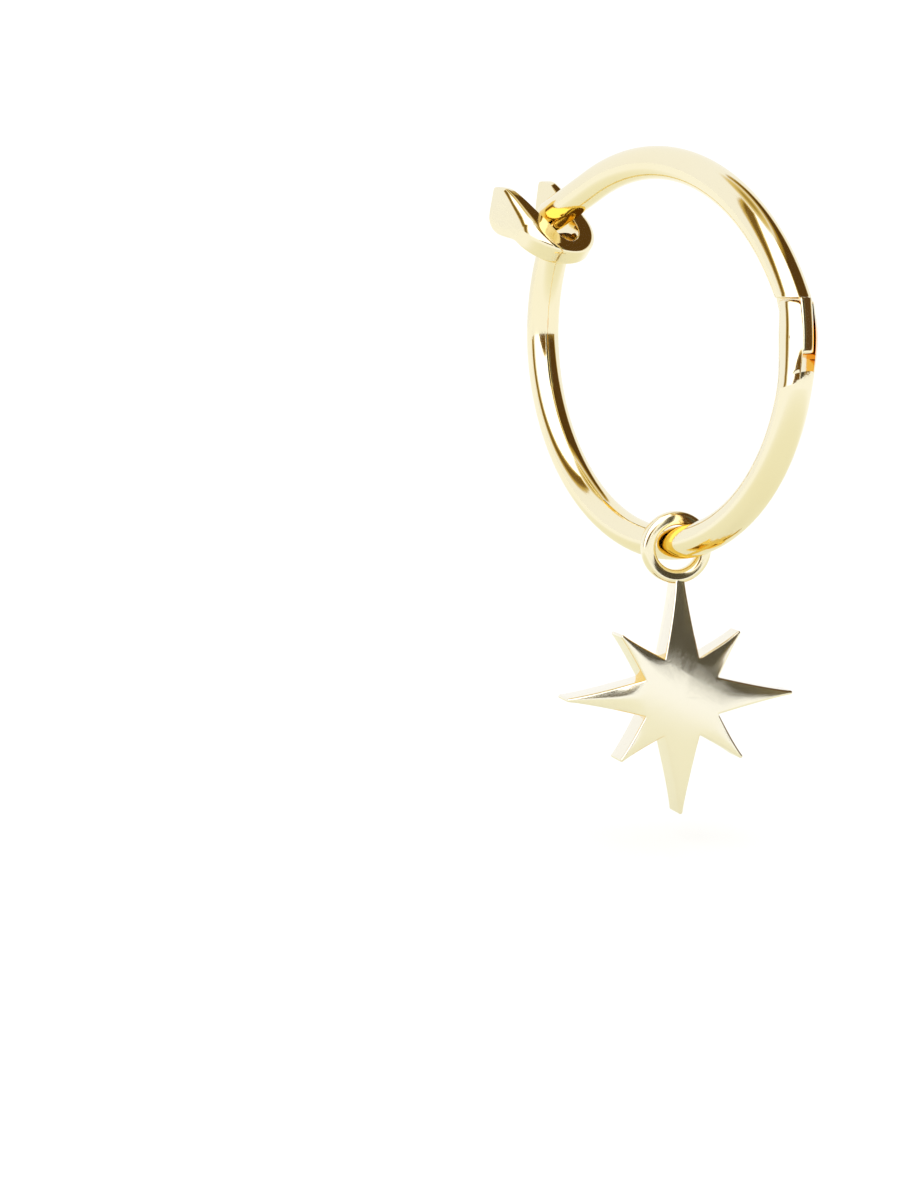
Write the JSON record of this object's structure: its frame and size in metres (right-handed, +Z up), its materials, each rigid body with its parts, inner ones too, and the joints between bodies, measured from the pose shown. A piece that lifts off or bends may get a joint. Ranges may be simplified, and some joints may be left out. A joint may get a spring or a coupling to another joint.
{
  "type": "hinged hoop charm earring",
  "caption": "Small hinged hoop earring in polished gold with a winged catch and a star charm that swings from a jump ring.",
  "frame": {"origin": "the wire's centre line at the top of the post arc, where the ear lobe carries the earring", "axes": "+Z up, +X towards the hinge, -X the way the lobe leaves towards the free end, the hoop in the XZ plane"},
  "size_m": [0.0148, 0.0073, 0.0209],
  "materials": {
    "polished_gold": "polished"
  },
  "bodies": {
    "hoop": {"lower_hoop": "polished_gold", "hinge_pin": "polished_gold"},
    "post": {"post_arc": "polished_gold"},
    "charm": {"star_charm": "polished_gold"}
  },
  "joints": [
    {"name": "post_hinge", "type": "hinge", "parent": "hoop", "child": "post", "pos_m": [0.00712, 0, -0.00533], "axis": [0, 1, 0], "range_deg": [0, 75]},
    {"name": "charm_swing", "type": "hinge", "parent": "hoop", "child": "charm", "pos_m": [0.0013, 0, -0.01191], "axis": [0.9945, 0, 0.1045], "range_deg": [-90, 90]}
  ]
}
